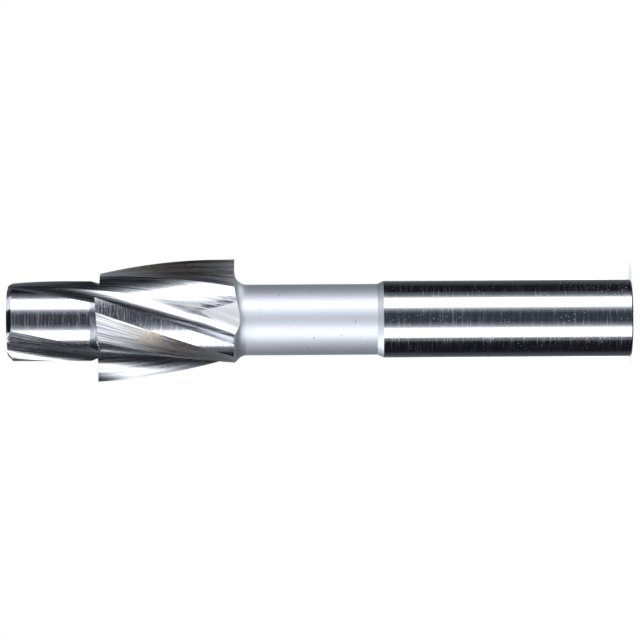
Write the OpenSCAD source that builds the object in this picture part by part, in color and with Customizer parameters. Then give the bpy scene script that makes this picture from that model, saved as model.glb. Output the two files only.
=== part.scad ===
// Counterbore cutter with a solid pilot, turned and ground from one bar of tool steel.
// The tool axis is +Z. The flat shank end stands on z = 0 and the pilot points up.
// The cutter turns counterclockwise seen from the pilot, and its flutes rise as a right-hand helix.

/* [Shank] */
// Diameter of the plain shank that the chuck grips
shank_d = 12.5; // [10:0.1:18]
// Length of the shank, with its end chamfer
shank_l = 40.2; // [20:0.1:80]
// Chamfer round the shank end
shank_chamfer = 0.2; // [0.1:0.1:1.5]

/* [Neck] */
// Diameter of the neck between the shank and the head
neck_d = 11.5; // [8:0.1:12]
// Length from the shank to the rear face of the head
neck_l = 24.2; // [8:0.1:60]
// Length of the cone that leads from the neck to the shank
cone_l = 1; // [0.5:0.1:3]
// Fillet between the neck and the rear face of the head
neck_fillet_r = 2; // [0.5:0.1:2]

/* [Head] */
// Diameter over the cutting teeth, the counterbore that it cuts
cutter_d = 20; // [18:0.1:26]
// Length of the toothed head
cutter_l = 22.3; // [12:0.1:40]
// Width of the round margin behind each leading edge
margin_w = 2.4; // [1.4:0.1:4]
// Angle at which the margin falls away behind its leading edge, in degrees
margin_relief = 4; // [1:0.5:8]
// Width of the flat heel behind the margin
heel_w = 5.7; // [4:0.1:6.5]
// Angle at which the heel falls away from the margin, in degrees
heel_relief = 43; // [35:1:48]
// Angle at which the end teeth fall away behind their edges, in degrees
end_relief = 4; // [2:0.5:8]
// Turn of the first tooth's front corner about the axis, in degrees
tooth_angle = -67.8; // [-180:0.1:180]

/* [Flutes] */
// Height over which a flute makes one full turn
flute_lead = 178; // [120:1:400]
// Diameter of the core that the three flutes leave
core_d = 10.4; // [9:0.1:11]
// Forward lean of the cutting face, in degrees
rake_angle = 5; // [0:0.5:10]
// Rise of the flute floor above a straight line from its root to the heel
floor_crown = 0.9; // [0.3:0.05:1.2]
// Size of the blend at the flute's root
root_blend = 4.2; // [1:0.1:4.3]
// Height above the rear face where the floor starts to rise out of the work
runout_l = 9; // [6:0.1:12]
// Diameter of the wheel that grinds the flute and leaves this rise
wheel_d = 76; // [50:1:90]

/* [Pilot] */
// Diameter of the pilot that runs in the drilled hole
pilot_d = 13; // [11:0.1:15]
// Length of the pilot in front of the head
pilot_l = 14.5; // [6:0.1:30]
// Chamfer round the pilot's front end
pilot_chamfer = 0.8; // [0.2:0.1:1.5]
// Depth of the undercut at the foot of the pilot
undercut_depth = 0.4; // [0.2:0.05:0.8]
// Length of the undercut
undercut_l = 1; // [0.5:0.1:2]

/* [Hidden] */
$fn = 96;

// Stock left on the head's radius for grinding the margins
grinding_stock = 0.3;
teeth = 3;
pitch = 360 / teeth;
shank_r = shank_d / 2;
neck_r = neck_d / 2;
cutter_r = cutter_d / 2;
pilot_r = pilot_d / 2;
undercut_r = pilot_r - undercut_depth;
blank_r = cutter_r + grinding_stock;
rear_z = shank_l + neck_l;
front_z = rear_z + cutter_l;
tip_z = front_z + pilot_l;

// How far the tools that cut the blank reach past it
overcut = 2.5;
// Radius to which a flute's cut opens outside the blank
cut_r = 2.5 * cutter_r;
// Largest share of the cutting face's depth that the root blend takes
blend_limit = 0.9;
// Land that the end relief leaves beside the undercut
relief_land = 0.2;
// Height of the end relief's cut above the front face
relief_top = undercut_l / 4;
// Number of steps along the neck fillet
fillet_steps = 12;
// Number of steps across the flute floor, its root blend, the rake face, heel or margin, and up the flute
floor_steps = 8;
blend_steps = 9;
face_steps = 4;
flute_steps = 50;

function polar(r, angle) = [r * cos(angle), r * sin(angle)];
function between(a, b, t) = a + (b - a) * t;
function curve(a, b, c, t) = between(between(a, b, t), between(b, c, t), t);

// Half outline of the turned blank, from the shank end to the pilot's front
function fillet_point(step) =
    [neck_r + neck_fillet_r, rear_z - neck_fillet_r] + polar(neck_fillet_r, 180 - 90 * step / fillet_steps);
blank_outline = concat(
    [
        [0, 0],
        [shank_r - shank_chamfer, 0],
        [shank_r, shank_chamfer],
        [shank_r, shank_l],
        [neck_r, shank_l + cone_l],
    ],
    [for (step = [0:fillet_steps]) fillet_point(step)],
    [
        [blank_r, rear_z],
        [blank_r, front_z],
        [undercut_r, front_z],
        [pilot_r, front_z + undercut_l],
        [pilot_r, tip_z - pilot_chamfer],
        [pilot_r - pilot_chamfer, tip_z],
        [0, tip_z],
    ]
);

// Section of one flute, seen from the pilot, with the leading edge that it serves at [cutter_r, 0]
function rake_point(depth) = [cutter_r, 0] - polar(depth, rake_angle);
function rake_depth(core_r) = cutter_r * cos(rake_angle) - sqrt(core_r ^ 2 - (cutter_r * sin(rake_angle)) ^ 2);
margin_angle = margin_w / cutter_r * 180 / PI;
heel_angle = pitch - margin_angle;
function margin_point(share) =
    polar(cutter_r - margin_w * (1 - share) * tan(margin_relief), heel_angle + margin_angle * share);
heel_start = margin_point(0);
heel_run = polar(1, heel_angle - 90 - heel_relief);
heel_end = heel_start + heel_run * heel_w;
full_root = rake_point(rake_depth(core_d / 2));
floor_run = (full_root - heel_end) / norm(full_root - heel_end);
floor_bend = (heel_end + full_root) / 2 + [-floor_run.y, floor_run.x] * 2 * floor_crown;

// Rise of the floor at height z, where the wheel leaves the work on its own curve
function floor_rise(z) = max(0, rear_z + runout_l - z) ^ 2 / wheel_d;

function flute_section(z) =
    let (
        depth = rake_depth(core_d / 2 + floor_rise(z)),
        root = rake_point(depth),
        blend = min(root_blend, blend_limit * depth),
        floor_share = 1 - blend / (2 * norm(root - floor_bend)),
        floor_foot = curve(heel_end, floor_bend, root, floor_share)
    )
    concat(
        [polar(cut_r, 0.8 * heel_angle)],
        [for (i = [0:face_steps - 1]) rake_point(between(-overcut, depth - blend, i / face_steps))],
        [for (i = [0:blend_steps]) curve(rake_point(depth - blend), root, floor_foot, i / blend_steps)],
        [
            for (i = [1:floor_steps])
                curve(heel_end, floor_bend, root, floor_share * (1 - i / floor_steps))
        ],
        [for (i = [1:face_steps]) between(heel_end, heel_start, i / face_steps)],
        [for (i = [1:face_steps + 1]) margin_point(i / face_steps)]
    );

// Section raised to height z and turned with the helix
function flute_ring(z) =
    let (turn = tooth_angle + 360 * (z - front_z) / flute_lead)
    [
        for (p = flute_section(z))
            [p.x * cos(turn) - p.y * sin(turn), p.x * sin(turn) + p.y * cos(turn), z]
    ];

// Space that one flute, and the heel and margin ahead of it, take out of the blank
module flute_space() {
    foot_z = rear_z - neck_fillet_r - overcut / 2;
    head_z = tip_z + overcut / 2;
    step_z = (head_z - foot_z) / flute_steps;
    rings = [for (i = [0:flute_steps]) flute_ring(foot_z + i * step_z)];
    count = len(rings[0]);
    top = flute_steps * count;
    walls = [
        for (i = [0:flute_steps - 1], j = [0:count - 1])
            let (
                a = i * count + j,
                b = i * count + (j + 1) % count
            )
            each [[a, b, b + count], [a, b + count, a + count]]
    ];
    foot = [for (j = [1:count - 2]) [0, j + 1, j]];
    head = [for (j = [1:count - 2]) [top, top + j, top + j + 1]];
    polyhedron([for (ring = rings) each ring], concat(walls, foot, head));
}

// Wedge over one end tooth, which drops the front face behind the cutting edge
module end_relief_space() {
    reach = cutter_r + overcut;
    slope = tan(end_relief);
    lead = relief_top / slope / 2;
    wedge = [[lead, lead * slope], [-reach, -reach * slope], [-reach, relief_top], [lead, relief_top]];
    translate([0, 0, front_z])
        rotate([0, 0, tooth_angle])
            difference() {
                translate([-undercut_r / 3, 0, 0])
                    rotate([90, 0, 90])
                        linear_extrude(reach + undercut_r / 3)
                            polygon(wedge);
                cylinder(r = undercut_r + relief_land, h = 2 * reach, center = true);
            }
}

module counterbore_cutter() {
    color("silver")
        difference() {
            rotate_extrude()
                polygon(blank_outline);
            for (tooth = [0:teeth - 1])
                rotate([0, 0, tooth * pitch]) {
                    flute_space();
                    end_relief_space();
                }
        }
}

counterbore_cutter();
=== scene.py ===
"""Looks of the counterbore cutter: one dense steel body in the fixed frame, a pale floor and soft lamps."""

import math

import bmesh
import bpy
import numpy as np
from mathutils import Matrix


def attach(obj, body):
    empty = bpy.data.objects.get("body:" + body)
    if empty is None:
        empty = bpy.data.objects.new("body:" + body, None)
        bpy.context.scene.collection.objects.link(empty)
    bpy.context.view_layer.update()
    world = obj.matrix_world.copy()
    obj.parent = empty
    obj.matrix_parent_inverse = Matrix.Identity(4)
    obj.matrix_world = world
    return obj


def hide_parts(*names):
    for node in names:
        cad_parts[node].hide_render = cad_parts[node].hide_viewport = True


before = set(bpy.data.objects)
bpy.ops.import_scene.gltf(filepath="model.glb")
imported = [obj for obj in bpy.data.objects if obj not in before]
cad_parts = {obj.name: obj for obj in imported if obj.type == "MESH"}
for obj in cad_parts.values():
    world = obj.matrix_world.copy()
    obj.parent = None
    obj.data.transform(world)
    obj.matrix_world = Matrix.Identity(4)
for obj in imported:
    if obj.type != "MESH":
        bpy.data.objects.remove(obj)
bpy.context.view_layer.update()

MM = 0.001

# Sizes of the turned blank, in millimetres, with the shank end at zero
SHANK_R = 6.25
SHANK_L = 40.2
SHANK_CHAMFER = 0.2
NECK_R = 5.75
CONE_L = 1.0
FILLET_R = 2.0
CUTTER_R = 10.0
REAR_Z = 64.4
FRONT_Z = 86.7
PILOT_R = 6.5
PILOT_CHAMFER = 0.8
UNDERCUT_R = 6.1
UNDERCUT_L = 1.0
TIP_Z = 101.2
FILLET_TOP_R = NECK_R + FILLET_R

# Sizes of the flutes and teeth, in millimetres and degrees
TEETH = 3
PITCH = 360.0 / TEETH
TOOTH_ANGLE = -67.8
FLUTE_LEAD = 178.0
CORE_R = 5.2
RAKE_ANGLE = 5.0
MARGIN_W = 2.4
MARGIN_RELIEF = 4.0
HEEL_W = 5.7
HEEL_RELIEF = 43.0
END_RELIEF = 4.0
FLOOR_CROWN = 0.9
ROOT_BLEND = 4.2
BLEND_LIMIT = 0.9
RUNOUT_L = 9.0
WHEEL_D = 76.0

# Numbers of faces across each part of the section and along each part of the tool
SIDE_STEPS = 10
FLOOR_EDGE_STEPS = 6
HEEL_EDGE_STEPS = 4
ROOT_STEPS = 40
LAND_STEPS = 48
HEAD_ROWS = 90
PILOT_ROWS = 56
UNDERCUT_ROWS = 6
CHAMFER_ROWS = 3
RUNOUT_ROWS = 18
FILLET_ROWS = 12
NECK_ROWS = 12
CONE_ROWS = 3
SHANK_ROWS = 20
END_RINGS = 8

# Edges that turn by more than this, in degrees, stay crisp
SHARP_ANGLE = 11.0
# Points that lie closer together than this, in millimetres, are one point
MERGE_DISTANCE = 2e-4
# Number of halvings in the search for the end of a run-out
RUNOUT_HALVINGS = 50


def polar(radius, degrees):
    """Point or points at a radius and an angle."""
    angle = np.radians(degrees)
    return np.stack([radius * np.cos(angle), radius * np.sin(angle)], axis=-1)


def curve(a, b, c, t):
    """Point on the quadratic curve from a over b to c."""
    t = np.asarray(t)[..., None]
    return (1 - t) ** 2 * a + 2 * t * (1 - t) * b + t ** 2 * c


def rake_point(depth):
    """Point on the cutting face, at a depth below the leading edge."""
    depth = np.asarray(depth, float)
    return np.array([CUTTER_R, 0.0]) - polar(depth, np.full_like(depth, RAKE_ANGLE))


def rake_depth(radius):
    """Depth on the cutting face at which it reaches a radius."""
    lean = math.radians(RAKE_ANGLE)
    return CUTTER_R * math.cos(lean) - np.sqrt(radius ** 2 - (CUTTER_R * math.sin(lean)) ** 2)


MARGIN_ANGLE = math.degrees(MARGIN_W / CUTTER_R)
HEEL_ANGLE = PITCH - MARGIN_ANGLE
HEEL_R = CUTTER_R - MARGIN_W * math.tan(math.radians(MARGIN_RELIEF))
HEEL_START = polar(HEEL_R, HEEL_ANGLE)
HEEL_END = HEEL_START + HEEL_W * polar(1.0, HEEL_ANGLE - 90 - HEEL_RELIEF)
FULL_ROOT = rake_point(rake_depth(CORE_R))
FLOOR_RUN = (FULL_ROOT - HEEL_END) / np.linalg.norm(FULL_ROOT - HEEL_END)
FLOOR_BEND = (HEEL_END + FULL_ROOT) / 2 + 2 * FLOOR_CROWN * np.array([-FLOOR_RUN[1], FLOOR_RUN[0]])


def flute_path(place, z):
    """Section of a flute at height z: 0 to 1 cutting face, 1 to 2 root, 2 to 3 floor, 3 to 4 heel."""
    place, z = np.broadcast_arrays(np.asarray(place, float), np.asarray(z, float))
    rise = np.maximum(0.0, REAR_Z + RUNOUT_L - z) ** 2 / WHEEL_D
    depth = rake_depth(CORE_R + rise)
    root = rake_point(depth)
    size = np.minimum(ROOT_BLEND, BLEND_LIMIT * depth)
    share = 1 - size / (2 * np.linalg.norm(root - FLOOR_BEND, axis=-1))
    foot = curve(HEEL_END, FLOOR_BEND, root, share)
    straight = depth - size
    rake = rake_point(straight * np.clip(place, 0, 1))
    blend = curve(rake_point(straight), root, foot, np.clip(place - 1, 0, 1))
    floor = curve(HEEL_END, FLOOR_BEND, root, share * (1 - np.clip(place - 2, 0, 1)))
    heel = HEEL_END + (HEEL_START - HEEL_END) * np.clip(place - 3, 0, 1)[..., None]
    step = place[..., None]
    return np.where(step <= 1, rake, np.where(step <= 2, blend, np.where(step <= 3, floor, heel)))


# Places on the flute path where the heel begins and ends, and a close row of places along all of it
HEEL_PLACE = 3
PATH_END = 4
PATH_FINE = np.linspace(0, PATH_END, 1601)


def crossings(radius, z):
    """Places on the flute path, on the cutting face's side and on the heel's, that lie at a radius."""
    reach = np.linalg.norm(flute_path(PATH_FINE, z), axis=-1)
    low = int(np.argmin(reach))
    near = np.interp(-radius, -reach[:low + 1], PATH_FINE[:low + 1])
    far = np.interp(radius, reach[low:], PATH_FINE[low:])
    return near, far


def lowest_reach(z):
    """Smallest radius of the flute's section at height z."""
    return np.linalg.norm(flute_path(PATH_FINE, z), axis=-1).min()


def turned(points, z, more=0.0):
    """Section points raised to height z and turned with the helix."""
    z = np.broadcast_to(np.asarray(z, float), points.shape[:-1])
    angle = np.radians(TOOTH_ANGLE + 360 * (z - FRONT_Z) / FLUTE_LEAD + more)
    x = points[..., 0] * np.cos(angle) - points[..., 1] * np.sin(angle)
    y = points[..., 0] * np.sin(angle) + points[..., 1] * np.cos(angle)
    return np.stack([x, y, z], axis=-1)


def angle_of(points):
    """Angle of section points about the axis, in degrees."""
    return np.degrees(np.arctan2(points[..., 1], points[..., 0]))


def land_points(radius, z, near, far, share):
    """Points on the round land from the heel's side of one flute to the cutting face of the next."""
    first = angle_of(flute_path(far, z))
    last = angle_of(flute_path(near, z)) + PITCH
    return turned(polar(radius, first + (last - first) * share), z)


def spin(points, degrees):
    """Points turned about the tool axis."""
    angle = math.radians(degrees)
    x = points[..., 0] * math.cos(angle) - points[..., 1] * math.sin(angle)
    y = points[..., 0] * math.sin(angle) + points[..., 1] * math.cos(angle)
    return np.stack([x, y, points[..., 2]], axis=-1)


def coons(low, high, left, right):
    """Grid of points stretched between four edges; left and right run from low to high."""
    u = np.linspace(0, 1, len(low))[None, :, None]
    v = np.linspace(0, 1, len(left))[:, None, None]
    along = (1 - v) * low[None] + v * high[None]
    across = (1 - u) * left[:, None] + u * right[:, None]
    corners = (1 - v) * ((1 - u) * low[0] + u * low[-1]) + v * ((1 - u) * high[0] + u * high[-1])
    return along + across - corners


def joined(*stretches):
    """Places of several stretches of the path in one list, with shared ends once."""
    return np.concatenate([stretches[0]] + [stretch[1:] for stretch in stretches[1:]])


def cutter_patches():
    """Grids of points of one third of the tool, each with the name of its finish."""
    patches = []
    relief = math.tan(math.radians(END_RELIEF))
    rake_mid, heel_mid = crossings(FILLET_TOP_R, REAR_Z)
    rake_low, floor_low = crossings(UNDERCUT_R, FRONT_Z)
    inner_steps = FLOOR_EDGE_STEPS + HEEL_EDGE_STEPS
    places = joined(
        np.linspace(0, rake_mid, SIDE_STEPS + 1),
        np.linspace(rake_mid, rake_low, inner_steps + 1),
        np.linspace(rake_low, floor_low, ROOT_STEPS + 1),
        np.linspace(floor_low, HEEL_PLACE, FLOOR_EDGE_STEPS + 1),
        np.linspace(HEEL_PLACE, heel_mid, HEEL_EDGE_STEPS + 1),
        np.linspace(heel_mid, PATH_END, SIDE_STEPS + 1),
    )
    at_rake_mid = SIDE_STEPS
    at_rake_low = at_rake_mid + inner_steps
    at_floor_low = at_rake_low + ROOT_STEPS
    at_floor_end = at_floor_low + FLOOR_EDGE_STEPS
    at_heel_mid = at_floor_end + HEEL_EDGE_STEPS

    # Height of the front end over each place, with the end teeth falling away behind their edges
    section = flute_path(places, FRONT_Z)
    own_drop = np.minimum(0, section[:, 1]) * relief
    lean = math.radians(PITCH)
    next_drop = (section[:, 1] * math.cos(lean) - section[:, 0] * math.sin(lean)) * relief
    steps = np.arange(len(places))
    ends = [at_rake_low, at_floor_low]
    root_drop = np.interp(steps, ends, [own_drop[at_rake_low], next_drop[at_floor_low]])
    drop = np.where(steps <= at_rake_low, own_drop, np.where(steps >= at_floor_low, next_drop, root_drop))
    top = FRONT_Z + drop

    # Flute through the head
    rows = np.linspace(0, 1, HEAD_ROWS + 1)[:, None]
    height = REAR_Z + (top[None, :] - REAR_Z) * rows
    head = turned(flute_path(places[None, :], height), height)
    patches.append(("rake", head[:, :at_rake_low + 1]))
    patches.append(("flute", head[:, at_rake_low:at_floor_end + 1]))
    patches.append(("heel", head[:, at_floor_end:]))

    # Round margin behind each leading edge
    land = np.linspace(0, 1, LAND_STEPS + 1)
    margin_turn = HEEL_ANGLE + MARGIN_ANGLE * land
    margin_r = HEEL_R + (CUTTER_R - HEEL_R) * land
    margin_drop = margin_r * np.sin(np.radians(margin_turn - PITCH)) * relief
    height = REAR_Z + (FRONT_Z + margin_drop[None, :] - REAR_Z) * rows
    margin = turned(np.broadcast_to(polar(margin_r, margin_turn), height.shape + (2,)), height)
    patches.append(("margin", margin))

    # End teeth
    low_first = angle_of(flute_path(floor_low, FRONT_Z))
    low_last = angle_of(flute_path(rake_low, FRONT_Z)) + PITCH
    low_turn = low_first + (low_last - low_first) * land
    low_height = FRONT_Z + np.minimum(0, UNDERCUT_R * np.sin(np.radians(low_turn - PITCH))) * relief
    low_arc = turned(polar(UNDERCUT_R, low_turn), low_height)
    heel_side = head[-1, at_floor_low:]
    rake_side = spin(head[-1, :at_rake_low + 1][::-1], PITCH)
    low_arc[0] = heel_side[0]
    low_arc[-1] = rake_side[0]
    patches.append(("tooth end", coons(low_arc, margin[-1], heel_side, rake_side)))

    # Rear face of the head
    shoulder = land_points(FILLET_TOP_R, REAR_Z, rake_mid, heel_mid, land)
    heel_side = head[0, at_heel_mid:]
    rake_side = spin(head[0, :at_rake_mid + 1][::-1], PITCH)
    shoulder[0] = heel_side[0]
    shoulder[-1] = rake_side[0]
    patches.append(("rear face", coons(shoulder, margin[0], heel_side, rake_side)))

    # Fillet behind the head, into which the flutes run out
    def fillet(angle):
        """Radius and height on the fillet, at an angle in radians."""
        return FILLET_TOP_R + FILLET_R * np.cos(angle), REAR_Z - FILLET_R + FILLET_R * np.sin(angle)

    shallow, deep = math.pi / 2, math.pi
    for _ in range(RUNOUT_HALVINGS):
        middle = (shallow + deep) / 2
        radius, z = fillet(middle)
        if lowest_reach(z) < radius:
            shallow = middle
        else:
            deep = middle
    end = shallow
    spread = (places[at_rake_mid:at_heel_mid + 1] - rake_mid) / (heel_mid - rake_mid)
    runout = []
    collar = []
    for row in range(RUNOUT_ROWS + 1):
        progress = math.sin(math.pi / 2 * row / RUNOUT_ROWS)
        radius, z = fillet(math.pi / 2 + (end - math.pi / 2) * progress)
        near, far = crossings(radius, z)
        runout.append(turned(flute_path(near + (far - near) * spread, z), z))
        collar.append(land_points(radius, z, near, far, land))
        collar[-1][0] = runout[-1][-1]
        collar[-1][-1] = spin(runout[-1][0], PITCH)
    runout[0] = head[0, at_rake_mid:at_heel_mid + 1]
    collar[0] = shoulder
    runout[-1][:] = runout[-1][0]
    collar[-1][0] = runout[-1][0]
    collar[-1][-1] = spin(runout[-1][0], PITCH)
    patches.append(("flute", np.array(runout)))
    patches.append(("neck", np.array(collar)))

    # Round body below the flutes
    def lathe(outline):
        """Grid of points over one third of a turned outline."""
        radius = np.array([point[0] for point in outline])[:, None]
        z = np.array([point[1] for point in outline])[:, None]
        turn = np.unwrap(np.arctan2(collar[-1][:, 1], collar[-1][:, 0]))[None, :]
        level = np.broadcast_to(z, (len(outline), len(land)))
        return np.stack([radius * np.cos(turn), radius * np.sin(turn), level], axis=-1)

    def straight(start, end, count):
        """Evenly spaced points of a straight stretch of the outline."""
        return [np.array(start) + (np.array(end) - np.array(start)) * i / count for i in range(count + 1)]

    rest = [fillet(end + (math.pi - end) * i / FILLET_ROWS) for i in range(FILLET_ROWS + 1)]
    rest_grid = lathe(rest)
    rest_grid[0] = collar[-1]
    patches.append(("neck", rest_grid))
    neck_end = SHANK_L + CONE_L
    patches.append(("neck", lathe(straight(rest[-1], (NECK_R, neck_end), NECK_ROWS))))
    patches.append(("cone", lathe(straight((NECK_R, neck_end), (SHANK_R, SHANK_L), CONE_ROWS))))
    patches.append(("shank", lathe(straight((SHANK_R, SHANK_L), (SHANK_R, SHANK_CHAMFER), SHANK_ROWS))))
    end_r = SHANK_R - SHANK_CHAMFER
    patches.append(("chamfer", lathe(straight((SHANK_R, SHANK_CHAMFER), (end_r, 0), CHAMFER_ROWS))))
    patches.append(("shank end", lathe(straight((end_r, 0), (0, 0), END_RINGS))))

    # Pilot with its undercut and chamfer
    spread = np.linspace(0, 1, ROOT_STEPS + 1)

    def pilot_rows(levels, low_flute, low_land):
        """Rows of points of one flute and one round land, at each level's radius, share and height."""
        flute = []
        round_land = []
        for radius, share, z in levels:
            near, far = crossings(radius, FRONT_Z)
            flute_z = low_flute + (z - low_flute) * share
            land_z = low_land + (z - low_land) * share
            flute.append(turned(flute_path(near + (far - near) * spread, FRONT_Z), flute_z))
            round_land.append(land_points(radius, land_z, near, far, land))
            round_land[-1][0] = flute[-1][-1]
            round_land[-1][-1] = spin(flute[-1][0], PITCH)
        return np.array(flute), np.array(round_land)

    root_top = top[at_rake_low:at_floor_low + 1]
    shares = np.linspace(0, 1, UNDERCUT_ROWS + 1)
    levels = [(UNDERCUT_R + (PILOT_R - UNDERCUT_R) * t, t, FRONT_Z + UNDERCUT_L) for t in shares]
    low_flute, low_land = pilot_rows(levels, root_top, low_height)
    low_flute[0] = head[-1, at_rake_low:at_floor_low + 1]
    low_land[0] = low_arc
    patches.append(("pilot flute", low_flute))
    patches.append(("undercut", low_land))
    body_top = TIP_Z - PILOT_CHAMFER
    levels = [(PILOT_R, 1.0, z) for z in np.linspace(FRONT_Z + UNDERCUT_L, body_top, PILOT_ROWS + 1)]
    flute, round_land = pilot_rows(levels, root_top, low_height)
    patches.append(("pilot flute", flute))
    patches.append(("pilot", round_land))
    shares = np.linspace(0, 1, CHAMFER_ROWS + 1)
    levels = [(PILOT_R - PILOT_CHAMFER * t, 1.0, body_top + PILOT_CHAMFER * t) for t in shares]
    flute, round_land = pilot_rows(levels, root_top, low_height)
    patches.append(("pilot flute", flute))
    patches.append(("chamfer", round_land))
    rim = np.concatenate([flute[-1], round_land[-1][1:]])
    shrink = np.linspace(1, 0, END_RINGS + 1)[:, None, None]
    axis_point = np.array([0, 0, TIP_Z])
    patches.append(("tip face", axis_point + (rim - axis_point) * shrink))
    return patches


def build_cutter(finishes):
    """The whole tool as one closed mesh, with a material for each finish."""
    names = list(finishes)
    points = []
    faces = []
    finish_of = []
    count = 0
    for name, grid in cutter_patches():
        for tooth in range(TEETH):
            turned_grid = spin(grid, tooth * PITCH)
            rows, columns = turned_grid.shape[:2]
            index = count + np.arange(rows * columns).reshape(rows, columns)
            quads = np.stack([index[:-1, :-1], index[:-1, 1:], index[1:, 1:], index[1:, :-1]], axis=-1)
            points.append(turned_grid.reshape(-1, 3))
            faces.append(quads.reshape(-1, 4))
            finish_of.append(np.full((rows - 1) * (columns - 1), names.index(name)))
            count += rows * columns
    mesh = bpy.data.meshes.new("cutter_body")
    mesh.from_pydata((np.concatenate(points) * MM).tolist(), [], np.concatenate(faces).tolist())
    mesh.polygons.foreach_set("material_index", np.concatenate(finish_of).astype(np.int32))
    work = bmesh.new()
    work.from_mesh(mesh)
    bmesh.ops.remove_doubles(work, verts=work.verts, dist=MERGE_DISTANCE * MM)
    bmesh.ops.dissolve_degenerate(work, edges=work.edges, dist=MERGE_DISTANCE * MM)
    bmesh.ops.recalc_face_normals(work, faces=work.faces)
    for face in work.faces:
        face.smooth = True
    work.to_mesh(mesh)
    work.free()
    mesh.set_sharp_from_angle(angle=math.radians(SHARP_ANGLE))
    for name in names:
        mesh.materials.append(finishes[name])
    cutter = bpy.data.objects.new("cutter_body", mesh)
    bpy.context.scene.collection.objects.link(cutter)
    return cutter


def add(tree, kind, inputs=None, **settings):
    """A shader node with its settings, and its inputs set or linked."""
    node = tree.nodes.new(kind)
    for key, value in settings.items():
        setattr(node, key, value)
    for key, value in (inputs or {}).items():
        socket = node.inputs[key]
        if isinstance(value, bpy.types.NodeSocket):
            tree.links.new(value, socket)
        else:
            socket.default_value = value
    return node


def math_node(tree, operation, first, second=0.0):
    """Result of one sum on two values."""
    node = add(tree, "ShaderNodeMath", {0: first, 1: second}, operation=operation)
    return node.outputs[0]


def spread_node(tree, value, low, high, to_low=0.0, to_high=1.0):
    """Value taken smoothly from one range to another."""
    inputs = {"Value": value, "From Min": low, "From Max": high, "To Min": to_low, "To Max": to_high}
    node = add(tree, "ShaderNodeMapRange", inputs, interpolation_type="SMOOTHSTEP")
    return node.outputs["Result"]


# Numbers of the sockets of a mix node that blend colours
MIX_SHARE = 0
MIX_FIRST = 6
MIX_SECOND = 7
MIX_RESULT = 2


def mix_node(tree, share, first, second):
    """Blend of two colours."""
    inputs = {MIX_SHARE: share, MIX_FIRST: first, MIX_SECOND: second}
    return add(tree, "ShaderNodeMix", inputs, data_type="RGBA").outputs[MIX_RESULT]


def new_group(name, outputs):
    """Empty node group that gives the named values."""
    group = bpy.data.node_groups.new(name, "ShaderNodeTree")
    for output in outputs:
        group.interface.new_socket(output, in_out="OUTPUT", socket_type="NodeSocketFloat")
    return group, group.nodes.new("NodeGroupOutput")


def scaled(tree, vector, factors):
    """Vector stretched along each axis."""
    node = add(tree, "ShaderNodeVectorMath", {0: vector, 1: factors}, operation="MULTIPLY")
    return node.outputs["Vector"]


def noise(tree, place, factors, detail, roughness):
    """Noise value at a stretched place."""
    vector = scaled(tree, place, factors)
    inputs = {"Vector": vector, "Scale": 1.0, "Detail": detail, "Roughness": roughness}
    return add(tree, "ShaderNodeTexNoise", inputs).outputs["Fac"]


# Noise of each grain: its fineness along X, Y and Z per metre, its detail and its roughness
LATHE_FINE = ((260, 260, 5200), 3.0, 0.6)
LATHE_BROAD = ((90, 90, 1300), 2.0, 0.5)
LATHE_FLECKS = ((1500, 1500, 1900), 2.0, 0.6)
LATHE_PATCHES = ((300, 300, 160), 3.0, 0.6)
HELIX_FINE = ((5200, 5200, 130), 3.0, 0.6)
HELIX_BROAD = ((1700, 1700, 75), 3.0, 0.55)
HELIX_PATCHES = ((260, 260, 260), 3.0, 0.6)
HELIX_MOTTLE = ((1700, 1700, 1700), 3.0, 0.65)
HELIX_DASHES = ((3500, 3500, 350), 2.0, 0.6)

# Specks: the fineness of their cells, the edge of each dot and the share of cells that hold one
SPECK_CELLS = (2100, 2100, 2100)
SPECK_EDGE = (0.40, 0.12)
SPECK_CHOICE = (0.50, 0.64)


def lathe_grain():
    """Lines round the axis, as turning and round grinding leave them, with flecks, specks and patches."""
    group, out = new_group("lathe_grain", ["Fine", "Broad", "Flecks", "Specks", "Patches"])
    place = add(group, "ShaderNodeTexCoord").outputs["Object"]
    fine = noise(group, place, *LATHE_FINE)
    broad = noise(group, place, *LATHE_BROAD)
    flecks = noise(group, place, *LATHE_FLECKS)
    cell_inputs = {"Vector": scaled(group, place, SPECK_CELLS), "Scale": 1.0}
    cells = add(group, "ShaderNodeTexVoronoi", cell_inputs).outputs
    dots = spread_node(group, cells["Distance"], *SPECK_EDGE)
    chosen = spread_node(group, cells["Color"], *SPECK_CHOICE)
    specks = math_node(group, "MULTIPLY", dots, chosen)
    patches = noise(group, place, *LATHE_PATCHES)
    values = {"Fine": fine, "Broad": broad, "Flecks": flecks, "Specks": specks, "Patches": patches}
    for name, value in values.items():
        group.links.new(value, out.inputs[name])
    return group


# Satin patch where a flute runs out, painted lighter as painted light: its point's height, turn from the
# leading edge, widening and soft edge
PATCH_TIP_Z = 70.3
PATCH_TURN = 27.0
PATCH_SPREAD = 4.05
PATCH_EDGE = (-1.0, 3.0)

# Dark streaks of painted shade beside the patch: degrees from its edge where they start and end, their growth
# and breaks
STREAK_START = (-3.0, 1.0)
STREAK_END = (14.0, 3.0)
STREAK_GROWTH = (-8.0, 8.0)
STREAK_BREAKS = (0.42, 0.60)


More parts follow.
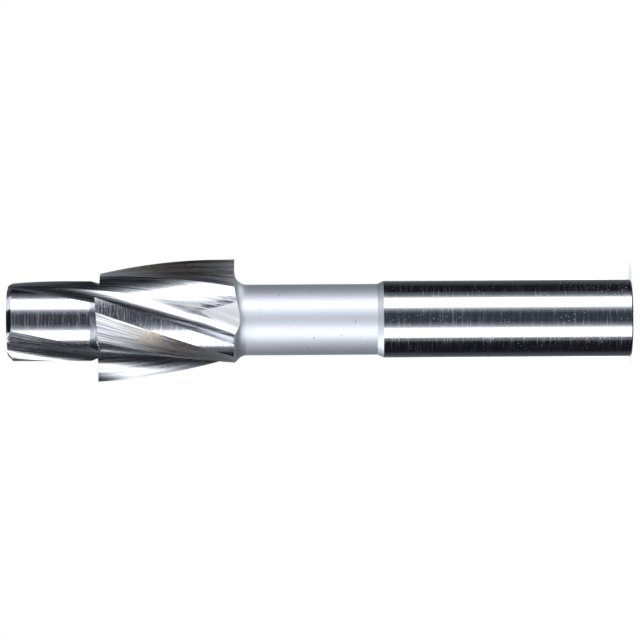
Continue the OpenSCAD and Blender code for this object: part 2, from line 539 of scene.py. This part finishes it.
def helix_grain():
    """Lines along the helix, patches and mottle, height and radius in millimetres, and the run-out's satin
    patch, painted lighter as painted light, with streaks of painted shade.
    """
    names = ["Fine", "Broad", "Patches", "Mottle", "Height", "Radius", "Patch", "Streaks"]
    group, out = new_group("helix_grain", names)
    place = add(group, "ShaderNodeTexCoord").outputs["Object"]
    height = add(group, "ShaderNodeSeparateXYZ", {0: place}).outputs["Z"]
    twist = math_node(group, "MULTIPLY", height, -2 * math.pi / (FLUTE_LEAD * MM))
    inputs = {"Vector": place, "Angle": twist}
    straight = add(group, "ShaderNodeVectorRotate", inputs, rotation_type="Z_AXIS").outputs["Vector"]
    fine = noise(group, straight, *HELIX_FINE)
    broad = noise(group, straight, *HELIX_BROAD)
    patches = noise(group, place, *HELIX_PATCHES)
    level = math_node(group, "DIVIDE", height, MM)
    flat = scaled(group, place, (1 / MM, 1 / MM, 0))
    reach = add(group, "ShaderNodeVectorMath", {0: flat}, operation="LENGTH").outputs["Value"]
    mottle = noise(group, place, *HELIX_MOTTLE)

    # Satin patch on the run-out, painted lighter as painted light, and short dark streaks of painted shade
    # above its upper edge
    parts = add(group, "ShaderNodeSeparateXYZ", {0: straight}).outputs
    angle = math_node(group, "DEGREES", math_node(group, "ARCTAN2", parts["Y"], parts["X"]))
    start = 360 * FRONT_Z / FLUTE_LEAD - TOOTH_ANGLE
    turn = math_node(group, "FLOORED_MODULO", math_node(group, "ADD", angle, start), PITCH)
    aside = math_node(group, "SUBTRACT", turn, PATCH_TURN)
    below = math_node(group, "SUBTRACT", PATCH_TIP_Z, level)
    half = math_node(group, "MULTIPLY", below, PATCH_SPREAD)
    inside = math_node(group, "SUBTRACT", half, math_node(group, "ABSOLUTE", aside))
    patch = spread_node(group, inside, *PATCH_EDGE)
    above = math_node(group, "SUBTRACT", aside, half)
    start_side = spread_node(group, above, *STREAK_START)
    end_side = spread_node(group, above, *STREAK_END)
    edge = math_node(group, "MULTIPLY", start_side, end_side)
    grown = math_node(group, "MULTIPLY", edge, spread_node(group, half, *STREAK_GROWTH))
    dashes = noise(group, straight, *HELIX_DASHES)
    shade_streaks = math_node(group, "MULTIPLY", grown, spread_node(group, dashes, *STREAK_BREAKS))

    values = {"Fine": fine, "Broad": broad, "Patches": patches, "Mottle": mottle, "Height": level,
              "Radius": reach, "Patch": patch, "Streaks": shade_streaks}
    for name, value in values.items():
        group.links.new(value, out.inputs[name])
    return group


LATHE_GRAIN = lathe_grain()
HELIX_GRAIN = helix_grain()

# Ground steel: grain ranges of its lines, polish and worn places, and the roughness of a scuff
GROUND_LINES = (0.35, 0.75)
GROUND_POLISH = (0.4, 0.75)
WORN_PLACES = (0.40, 0.58)
SCUFF_ROUGHNESS = 0.4

# Heel: grain ranges of its streaks and polish, heights and depth of the painted shade that darkens its rear,
# and heights of its frosted front
HEEL_STREAKS = (0.42, 0.62)
HEEL_POLISH = (0.35, 0.7)
PAINTED_SHADE_REAR = (78.0, 66.0)
REAR_PAINTED_SHADE = 0.45
FROSTED_FRONT = (75.0, 84.0)
FRONT_FROST = 0.16

# Heat tint on the heel: radii and heights between which it fades, ranges of its clouds and spots
TINT_RIM = (6.9, 8.6)
TINT_FRONT = (83.0, 77.5)
TINT_REAR = (68.0, 73.0)
TINT_CLOUDS = (0.28, 0.55)
TINT_SPOTS = (0.48, 0.66)
HEAT_SPOTS = (0.34, 0.30, 0.27, 1)

# Flute: grain ranges of its lines and polish, weight of the broad lines in its relief, patch and streaks; the
# patch's lighter colour is painted light and the streaks are painted shade, while the patch's roughness is a
# real satin finish
FLUTE_LINES = (0.45, 0.72)
FLUTE_POLISH = (0.35, 0.7)
BROAD_RELIEF = 2.0
PAINTED_LIGHT_PATCH = (0.90, 0.93, 0.98, 1)
PATCH_ROUGHNESS = 0.42
PAINTED_SHADE_STREAKS = (0.09, 0.10, 0.13, 1)

# Satin steel: grain range in which a fleck shows
FLECK_RANGE = (0.68, 0.76)


def metal(name):
    """New metal material, its node tree and its shader."""
    material = bpy.data.materials.new(name)
    material.use_nodes = True
    tree = material.node_tree
    shader = tree.nodes["Principled BSDF"]
    shader.inputs["Metallic"].default_value = 1.0
    return material, tree, shader


def bump(tree, shader, height, distance):
    """Relief on the shader, with its depth in metres."""
    node = add(tree, "ShaderNodeBump", {"Strength": 1.0, "Distance": distance, "Height": height})
    tree.links.new(node.outputs["Normal"], shader.inputs["Normal"])


def ground_steel(name, light, dark, smooth, rough, depth):
    """Bright steel, ground round and round."""
    material, tree, shader = metal(name)
    grain = add(tree, "ShaderNodeGroup", node_tree=LATHE_GRAIN).outputs
    line = spread_node(tree, grain["Fine"], *GROUND_LINES)
    tree.links.new(mix_node(tree, line, light, dark), shader.inputs["Base Color"])
    polish = spread_node(tree, grain["Fine"], *GROUND_POLISH, smooth, rough)
    worn = math_node(tree, "MULTIPLY", grain["Specks"], spread_node(tree, grain["Patches"], *WORN_PLACES))
    scuffs = math_node(tree, "MULTIPLY", worn, SCUFF_ROUGHNESS)
    tree.links.new(math_node(tree, "MAXIMUM", polish, scuffs), shader.inputs["Roughness"])
    bump(tree, shader, grain["Fine"], depth)
    return material


def heel_steel(name, light, dark, heat, smooth, rough, depth):
    """Steel with fine streaks along the helix, painted shade darkening it towards the rear, and a warm tint of
    heat behind the margin.
    """
    material, tree, shader = metal(name)
    grain = add(tree, "ShaderNodeGroup", node_tree=HELIX_GRAIN).outputs
    streak = spread_node(tree, grain["Fine"], *HEEL_STREAKS)
    # Painted shade: the heel's colour darkens towards its rear
    rear = spread_node(tree, grain["Height"], *PAINTED_SHADE_REAR, 0.0, REAR_PAINTED_SHADE)
    steel = mix_node(tree, math_node(tree, "MAXIMUM", streak, rear), light, dark)
    rim = spread_node(tree, grain["Radius"], *TINT_RIM)
    front_fade = spread_node(tree, grain["Height"], *TINT_FRONT)
    rear_fade = spread_node(tree, grain["Height"], *TINT_REAR)
    cloud = spread_node(tree, grain["Patches"], *TINT_CLOUDS)
    band = math_node(tree, "MULTIPLY", front_fade, rear_fade)
    stain = math_node(tree, "MULTIPLY", rim, math_node(tree, "MULTIPLY", band, cloud))
    spots = math_node(tree, "MULTIPLY", stain, spread_node(tree, grain["Mottle"], *TINT_SPOTS))
    tinted = mix_node(tree, stain, steel, heat)
    tree.links.new(mix_node(tree, spots, tinted, HEAT_SPOTS), shader.inputs["Base Color"])
    polish = spread_node(tree, grain["Broad"], *HEEL_POLISH, smooth, rough)
    frost = spread_node(tree, grain["Height"], *FROSTED_FRONT, 0.0, FRONT_FROST)
    tree.links.new(math_node(tree, "ADD", polish, frost), shader.inputs["Roughness"])
    both = math_node(tree, "ADD", grain["Fine"], grain["Broad"])
    bump(tree, shader, both, depth)
    return material


def fluted_steel(name, light, dark, smooth, rough, depth):
    """Steel ground along the helix, with long streaks, and at the run-out a satin patch painted lighter as
    painted light, with dark streaks of painted shade.
    """
    material, tree, shader = metal(name)
    grain = add(tree, "ShaderNodeGroup", node_tree=HELIX_GRAIN).outputs
    line = spread_node(tree, grain["Broad"], *FLUTE_LINES)
    # Painted light: the run-out patch is painted lighter than the rest of the flute
    steel = mix_node(tree, grain["Patch"], mix_node(tree, line, light, dark), PAINTED_LIGHT_PATCH)
    # Painted shade: dark streaks along the patch's upper edge
    tree.links.new(mix_node(tree, grain["Streaks"], steel, PAINTED_SHADE_STREAKS), shader.inputs["Base Color"])
    polish = spread_node(tree, grain["Fine"], *FLUTE_POLISH, smooth, rough)
    dull = math_node(tree, "MULTIPLY", grain["Patch"], PATCH_ROUGHNESS)
    tree.links.new(math_node(tree, "MAXIMUM", polish, dull), shader.inputs["Roughness"])
    broad = math_node(tree, "MULTIPLY", grain["Broad"], BROAD_RELIEF)
    both = math_node(tree, "ADD", grain["Fine"], broad)
    bump(tree, shader, both, depth)
    return material


def satin_steel(name, light, dark, rough, depth):
    """Satin steel with faint turning marks and a few dark flecks."""
    material, tree, shader = metal(name)
    grain = add(tree, "ShaderNodeGroup", node_tree=LATHE_GRAIN).outputs
    fleck = spread_node(tree, grain["Flecks"], *FLECK_RANGE)
    tree.links.new(mix_node(tree, fleck, light, dark), shader.inputs["Base Color"])
    shader.inputs["Roughness"].default_value = rough
    bump(tree, shader, grain["Broad"], depth)
    return material


ground = ground_steel(
    "ground_steel",
    light=(0.62, 0.65, 0.72, 1),
    dark=(0.50, 0.53, 0.60, 1),
    smooth=0.08,
    rough=0.30,
    depth=2e-6,
)
pilot_finish = ground_steel(
    "pilot_steel",
    light=(0.60, 0.62, 0.68, 1),
    dark=(0.46, 0.48, 0.53, 1),
    smooth=0.08,
    rough=0.27,
    depth=3e-6,
)
margin_finish = ground_steel(
    "margin_steel",
    light=(0.64, 0.67, 0.73, 1),
    dark=(0.34, 0.36, 0.42, 1),
    smooth=0.08,
    rough=0.18,
    depth=1.2e-5,
)
fluted = fluted_steel(
    "fluted_steel",
    light=(0.74, 0.77, 0.84, 1),
    dark=(0.40, 0.42, 0.48, 1),
    smooth=0.14,
    rough=0.30,
    depth=6e-6,
)
heel_finish = heel_steel(
    "heel_steel",
    light=(0.82, 0.84, 0.90, 1),
    dark=(0.34, 0.35, 0.39, 1),
    heat=(0.66, 0.585, 0.50, 1),
    smooth=0.25,
    rough=0.38,
    depth=1e-5,
)
# Darker turned steel for the undercut and the tip face; on the undercut its darker colour is painted shade in
# the groove, its roughness a real turned finish
turned_and_shaded_finish = ground_steel(
    "turned_steel_and_shade",
    light=(0.42, 0.44, 0.49, 1),
    dark=(0.30, 0.31, 0.35, 1),
    smooth=0.18,
    rough=0.30,
    depth=3e-6,
)
satin = satin_steel(
    "satin_steel",
    light=(0.79, 0.835, 0.925, 1),
    dark=(0.42, 0.43, 0.47, 1),
    rough=0.52,
    depth=6e-6,
)
finishes = {
    "rake": fluted,
    "flute": fluted,
    "heel": heel_finish,
    "margin": margin_finish,
    "tooth end": fluted,
    "rear face": ground,
    "neck": satin,
    "cone": satin,
    "shank": ground,
    "chamfer": ground,
    "shank end": ground,
    "pilot flute": fluted,
    "undercut": turned_and_shaded_finish,
    "pilot": pilot_finish,
    "tip face": turned_and_shaded_finish,
}

cutter = build_cutter(finishes)
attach(cutter, "root")
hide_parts("counterbore_cutter")

# Camera: it looks along +Y, with the shank to the right of the picture and +X up
PICTURE = 640
PIXELS_PER_MM = 6.15
CAMERA_DISTANCE = 700.0
AIM_X = -0.07
AIM_Z = 50.53
ROLL = math.radians(0.345)
SENSOR = 36.0
VIEW_END = 100.0

camera_data = bpy.data.cameras.new("camera")
camera_data.sensor_width = SENSOR
camera_data.lens = PIXELS_PER_MM * CAMERA_DISTANCE / PICTURE * SENSOR
camera_data.clip_end = VIEW_END
camera = bpy.data.objects.new("camera", camera_data)
right = (-math.sin(ROLL), 0.0, -math.cos(ROLL))
up = (math.cos(ROLL), 0.0, -math.sin(ROLL))
back = (0.0, -1.0, 0.0)
spot = (AIM_X * MM, -CAMERA_DISTANCE * MM, AIM_Z * MM)
camera.matrix_world = Matrix([[right[i], up[i], back[i], spot[i]] for i in range(3)] + [[0, 0, 0, 1]])
bpy.context.scene.collection.objects.link(camera)
bpy.context.scene.camera = camera

# Soft lamps round the tool, at this distance from its axis in metres
LAMP_DISTANCE = 0.8


def soft_lamp(name, first, last, low, high, radiance):
    """Flat lamp between two angles to the side and two angles above the tool's middle."""
    middle = math.radians((first + last) / 2)
    width = 2 * LAMP_DISTANCE * math.tan(math.radians(abs(last - first) / 2))
    bottom = LAMP_DISTANCE * math.tan(math.radians(low))
    top = LAMP_DISTANCE * math.tan(math.radians(high))
    data = bpy.data.lights.new(name, "AREA")
    data.shape = "RECTANGLE"
    data.size = width
    data.size_y = top - bottom
    data.energy = radiance * math.pi * width * (top - bottom)
    lamp = bpy.data.objects.new(name, data)
    away = (math.sin(middle), -math.cos(middle), 0.0)
    side = (math.cos(middle), math.sin(middle), 0.0)
    height = (0.0, 0.0, 1.0)
    place = (away[0] * LAMP_DISTANCE, away[1] * LAMP_DISTANCE, AIM_Z * MM + (bottom + top) / 2)
    rows = [[side[i], height[i], away[i], place[i]] for i in range(3)]
    lamp.matrix_world = Matrix(rows + [[0, 0, 0, 1]])
    bpy.context.scene.collection.objects.link(lamp)


# Name, angles to the side from -Y towards +X, angles upwards, all in degrees, and radiance of each lamp
LAMPS = (
    ("right_lamp", 35, 66, -46, 45, 2.4),
    ("right_inner_1", 31.5, 35, -25, 45, 0.9),
    ("right_inner_2", 28, 31.5, -25, 45, 0.45),
    ("right_inner_3", 24, 28, -25, 45, 0.22),
    ("right_inner_4", 19, 24, -25, 45, 0.08),
    ("right_outer_1", 66, 70, -25, 45, 0.8),
    ("right_outer_2", 70, 74, -25, 45, 0.38),
    ("right_outer_3", 74, 79, -25, 45, 0.20),
    ("right_outer_4", 79, 87, -25, 45, 0.11),
    ("right_low_lamp", 92, 130, -45, -16, 1.5),
    ("left_lamp", -27, -57, -14, 45, 2.4),
    ("left_lower_lamp", -27, -57, -46, -14, 1.6),
    ("left_inner_1", -23, -27, -46, 45, 0.8),
    ("left_inner_2", -19, -23, -46, 45, 0.42),
    ("left_inner_3", -15, -19, -46, 45, 0.2),
    ("left_inner_4", -10, -15, -25, 45, 0.09),
    ("left_outer_1", -57, -60, -46, 45, 0.6),
    ("left_outer_2", -60, -70, -25, 45, 0.18),
    ("low_lamp", -60, -76, -46, -30, 1.7),
    ("high_lamp", -26, 31, 11, 33, 1.0),
    ("far_left_lamp", -66, -113, 18, 44, 2.7),
    ("tip_right_lamp", 95, 135, 50, 72, 1.2),
    ("tip_left_lamp", -95, -135, 50, 72, 1.2),
)
for lamp in LAMPS:
    soft_lamp(*lamp)

# Dim room, brighter behind the tool and white to the camera: share of the way from -Y to +Y, and colour
WHITE = (1.0, 1.0, 1.0, 1.0)
ROOM_STOPS = (
    (0.0, (0.050, 0.056, 0.070)),
    (0.05, (0.045, 0.050, 0.062)),
    (0.17, (0.012, 0.013, 0.016)),
    (0.72, (0.012, 0.013, 0.016)),
    (0.93, (0.12, 0.125, 0.13)),
    (0.982, (0.3, 0.3, 0.3)),
    (0.993, (1.0, 1.0, 1.0)),
)
world = bpy.data.worlds.new("room")
bpy.context.scene.world = world
world.use_nodes = True
room = world.node_tree
direction = add(room, "ShaderNodeTexCoord").outputs["Generated"]
depth = add(room, "ShaderNodeSeparateXYZ", {0: direction}).outputs["Y"]
share_inputs = {"Value": depth, "From Min": -1.0, "From Max": 1.0}
share = add(room, "ShaderNodeMapRange", share_inputs).outputs["Result"]
ramp = add(room, "ShaderNodeValToRGB", {"Fac": share})
stops = ramp.color_ramp.elements
while len(stops) < len(ROOM_STOPS):
    stops.new(0.5)
for stop, (position, colour) in zip(stops, ROOM_STOPS):
    stop.position = position
    stop.color = (*colour, 1.0)
seen = add(room, "ShaderNodeLightPath").outputs["Is Camera Ray"]
room_colour = mix_node(room, seen, ramp.outputs["Color"], WHITE)
room.links.new(room_colour, room.nodes["Background"].inputs["Color"])

# Wide pale floor, white to the camera, its glow dimmed as painted shade in a ring at the tool's foot, where its
# real shadow shows
FLOOR_R = 1.5
FLOOR_SIDES = 128
FLOOR_COLOUR = (0.9, 0.9, 0.9, 1.0)
FLOOR_ROUGHNESS = 0.9
FOOT_SHADE_GLOW = (0.5, 0.5, 0.5, 1.0)
FOOT_REACH = (0.0065, 0.015)
floor_turns = [2 * math.pi * i / FLOOR_SIDES for i in range(FLOOR_SIDES)]
floor_mesh = bpy.data.meshes.new("floor")
floor_points = [(FLOOR_R * math.cos(turn), FLOOR_R * math.sin(turn), 0.0) for turn in floor_turns]
floor_mesh.from_pydata(floor_points, [], [list(range(FLOOR_SIDES))])
floor_finish = bpy.data.materials.new("floor")
floor_finish.use_nodes = True
floor_tree = floor_finish.node_tree
floor_shader = floor_tree.nodes["Principled BSDF"]
floor_shader.inputs["Base Color"].default_value = FLOOR_COLOUR
floor_shader.inputs["Roughness"].default_value = FLOOR_ROUGHNESS
floor_place = add(floor_tree, "ShaderNodeTexCoord").outputs["Object"]
floor_reach = add(floor_tree, "ShaderNodeVectorMath", {0: floor_place}, operation="LENGTH").outputs["Value"]
away = spread_node(floor_tree, floor_reach, *FOOT_REACH)
# Painted shade: the floor's glow is dimmed near the tool's foot
glow = mix_node(floor_tree, away, FOOT_SHADE_GLOW, WHITE)
floor_tree.links.new(glow, floor_shader.inputs["Emission Color"])
floor_seen = add(floor_tree, "ShaderNodeLightPath").outputs["Is Camera Ray"]
floor_tree.links.new(floor_seen, floor_shader.inputs["Emission Strength"])
floor_mesh.materials.append(floor_finish)
floor = bpy.data.objects.new("floor", floor_mesh)
bpy.context.scene.collection.objects.link(floor)
floor.visible_glossy = False
floor.visible_shadow = False

bpy.context.scene.view_settings.view_transform = "Standard"
